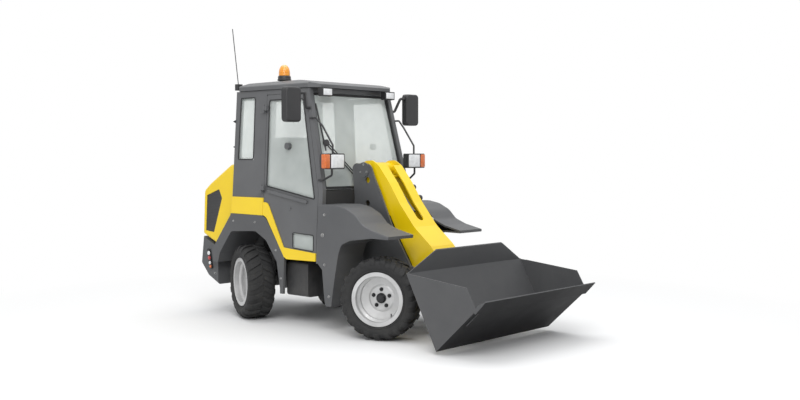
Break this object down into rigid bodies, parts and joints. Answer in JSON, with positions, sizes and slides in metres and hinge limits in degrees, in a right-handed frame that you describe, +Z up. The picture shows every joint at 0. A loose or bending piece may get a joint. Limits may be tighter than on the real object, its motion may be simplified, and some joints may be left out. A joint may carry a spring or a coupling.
{
  "type": "compact wheel loader",
  "caption": "Compact all-wheel-steer wheel loader with an enclosed glazed cab, a box boom on a front tower and a wide bucket carried on a quick coupler.",
  "frame": {"origin": "bottom centre of the bounding box, on the ground between the axles and the loader's two ends", "axes": "+X forward to the bucket, +Y to the machine's left, +Z up"},
  "size_m": [3.5572, 1.656, 2.6214],
  "materials": {
    "tyre_rubber": "moulded rubber, matt",
    "wheel_silver": "silver paint, satin",
    "dark_paint": "dark grey paint, satin",
    "yellow_paint": "bright yellow paint, gloss",
    "black_paint": "black paint, satin",
    "cast_grey": "painted casting",
    "dark_plastic": "dark grey moulding",
    "roof_plastic": "dark grey moulding",
    "seat_cover": "woven cover",
    "clear_glass": "clear, faintly green",
    "rod_chrome": "hard chrome",
    "lamp_plastic": "clear lens over a dark shell",
    "beacon_amber": "amber lens on a black base",
    "brushed_steel": "plated steel fittings",
    "bucket_steel": "dark grey paint, satin"
  },
  "bodies": {
    "chassis": {"chassis_frame": "dark_paint", "front_axle": "cast_grey", "rear_axle": "cast_grey", "drive_shaft": "black_paint", "engine_block": "cast_grey", "cab_frame": "dark_paint", "cab_roof": "roof_plastic", "cab_floor": "black_paint", "windshield": "clear_glass", "rear_windows": "clear_glass", "seat_base": "dark_plastic", "seat_cushions": "seat_cover", "dashboard": "dark_plastic", "steering_wheel": "dark_plastic", "joystick_console": "dark_plastic", "quarter_panels": "dark_paint", "quarter_trims": "yellow_paint", "front_fenders": "dark_plastic", "side_tanks": "dark_plastic", "rear_bumper": "dark_paint", "lamps": "lamp_plastic", "lamp_brackets": "black_paint", "beacon": "beacon_amber", "antenna": "black_paint", "mirrors": "dark_plastic", "wiper": "black_paint", "door_catches": "dark_plastic"},
    "hood": {"engine_hood": "yellow_paint", "hood_grilles": "dark_plastic"},
    "door_right": {"right_door": "dark_paint", "right_door_glass": "clear_glass", "right_door_trim": "yellow_paint"},
    "door_left": {"left_door": "dark_paint", "left_door_glass": "clear_glass", "left_door_trim": "yellow_paint"},
    "boom_arm": {"boom": "yellow_paint", "hydraulic_couplers": "brushed_steel"},
    "lift_barrel": {"lift_cylinder_barrel": "dark_paint"},
    "lift_rod": {"lift_cylinder_rod": "rod_chrome"},
    "tilt_barrel": {"tilt_cylinder_barrel": "dark_paint"},
    "tilt_rod": {"tilt_cylinder_rod": "rod_chrome"},
    "bucket_body": {"quick_coupler": "dark_paint", "bucket": "bucket_steel"},
    "steer_front_right": {"front_right_knuckle": "cast_grey"},
    "wheel_front_right": {"front_right_rim": "wheel_silver", "front_right_tyre": "tyre_rubber"},
    "steer_front_left": {"front_left_knuckle": "cast_grey"},
    "wheel_front_left": {"front_left_rim": "wheel_silver", "front_left_tyre": "tyre_rubber"},
    "steer_rear_right": {"rear_right_knuckle": "cast_grey"},
    "wheel_rear_right": {"rear_right_rim": "wheel_silver", "rear_right_tyre": "tyre_rubber"},
    "steer_rear_left": {"rear_left_knuckle": "cast_grey"},
    "wheel_rear_left": {"rear_left_rim": "wheel_silver", "rear_left_tyre": "tyre_rubber"}
  },
  "joints": [
    {"name": "steering_front_right", "type": "hinge", "parent": "chassis", "child": "steer_front_right", "pos_m": [0.556, -0.45, 0.33], "axis": [0, 0, 1], "range_deg": [-57, 13]},
    {"name": "spin_front_right", "type": "hinge", "parent": "steer_front_right", "child": "wheel_front_right", "pos_m": [0.556, -0.45, 0.33], "axis": [0.3746, -0.9272, 0], "continuous": true},
    {"name": "steering_front_left", "type": "hinge", "parent": "chassis", "child": "steer_front_left", "pos_m": [0.556, 0.45, 0.33], "axis": [0, 0, 1], "range_deg": [-57, 13]},
    {"name": "spin_front_left", "type": "hinge", "parent": "steer_front_left", "child": "wheel_front_left", "pos_m": [0.556, 0.45, 0.33], "axis": [-0.3746, 0.9272, 0], "continuous": true},
    {"name": "steering_rear_right", "type": "hinge", "parent": "chassis", "child": "steer_rear_right", "pos_m": [-1, -0.45, 0.33], "axis": [0, 0, 1], "range_deg": [-13, 57]},
    {"name": "spin_rear_right", "type": "hinge", "parent": "steer_rear_right", "child": "wheel_rear_right", "pos_m": [-1, -0.45, 0.33], "axis": [-0.3746, -0.9272, 0], "continuous": true},
    {"name": "steering_rear_left", "type": "hinge", "parent": "chassis", "child": "steer_rear_left", "pos_m": [-1, 0.45, 0.33], "axis": [0, 0, 1], "range_deg": [-13, 57]},
    {"name": "spin_rear_left", "type": "hinge", "parent": "steer_rear_left", "child": "wheel_rear_left", "pos_m": [-1, 0.45, 0.33], "axis": [0.3746, 0.9272, 0], "continuous": true},
    {"name": "hood_hinge", "type": "hinge", "parent": "chassis", "child": "hood", "pos_m": [-1.251, 0, 1.402], "axis": [0, 1, 0], "range_deg": [0, 60]},
    {"name": "door_right_hinge", "type": "hinge", "parent": "chassis", "child": "door_right", "pos_m": [-0.806, -0.57477, 1.14994], "axis": [0, -0.0523, -0.9986], "range_deg": [0, 170]},
    {"name": "door_left_hinge", "type": "hinge", "parent": "chassis", "child": "door_left", "pos_m": [-0.806, 0.57477, 1.14994], "axis": [0, -0.0523, 0.9986], "range_deg": [0, 170]},
    {"name": "boom_lift", "type": "hinge", "parent": "chassis", "child": "boom_arm", "pos_m": [0.071, 0, 1.344], "axis": [0, -1, 0], "range_deg": [0, 95]},
    {"name": "bucket_tilt", "type": "hinge", "parent": "boom_arm", "child": "bucket_body", "pos_m": [1.06, 0, 0.15], "axis": [0, 1, 0], "range_deg": [0, 100]},
    {"name": "lift_barrel_swing", "type": "hinge", "parent": "chassis", "child": "lift_barrel", "pos_m": [0.24, 0, 0.28], "axis": [0, -1, 0], "range_deg": [-5.63, 0]},
    {"name": "lift_rod_slide", "type": "slide", "parent": "lift_barrel", "child": "lift_rod", "axis": [0.0091, 0, 1], "range_m": [0, 0.53257]},
    {"name": "tilt_barrel_swing", "type": "hinge", "parent": "boom_arm", "child": "tilt_barrel", "pos_m": [0.19628, 0, 1.27897], "axis": [0, -1, 0], "range_deg": [0, 1.47]},
    {"name": "tilt_rod_slide", "type": "slide", "parent": "tilt_barrel", "child": "tilt_rod", "axis": [0.6559, 0, -0.7549], "range_m": [0, 0.25812]}
  ],
  "couplings": [
    {"joint": "steering_front_left", "follows": "steering_front_right", "ratio": 1},
    {"joint": "steering_rear_right", "follows": "steering_front_right", "ratio": -1},
    {"joint": "steering_rear_left", "follows": "steering_front_right", "ratio": -1},
    {"joint": "lift_barrel_swing", "follows": "boom_lift", "ratio": -0.059179},
    {"joint": "lift_rod_slide", "follows": "boom_lift", "m_per_rad": 0.32104},
    {"joint": "tilt_barrel_swing", "follows": "bucket_tilt", "ratio": 0.014656},
    {"joint": "tilt_rod_slide", "follows": "bucket_tilt", "m_per_rad": 0.14782}
  ]
}
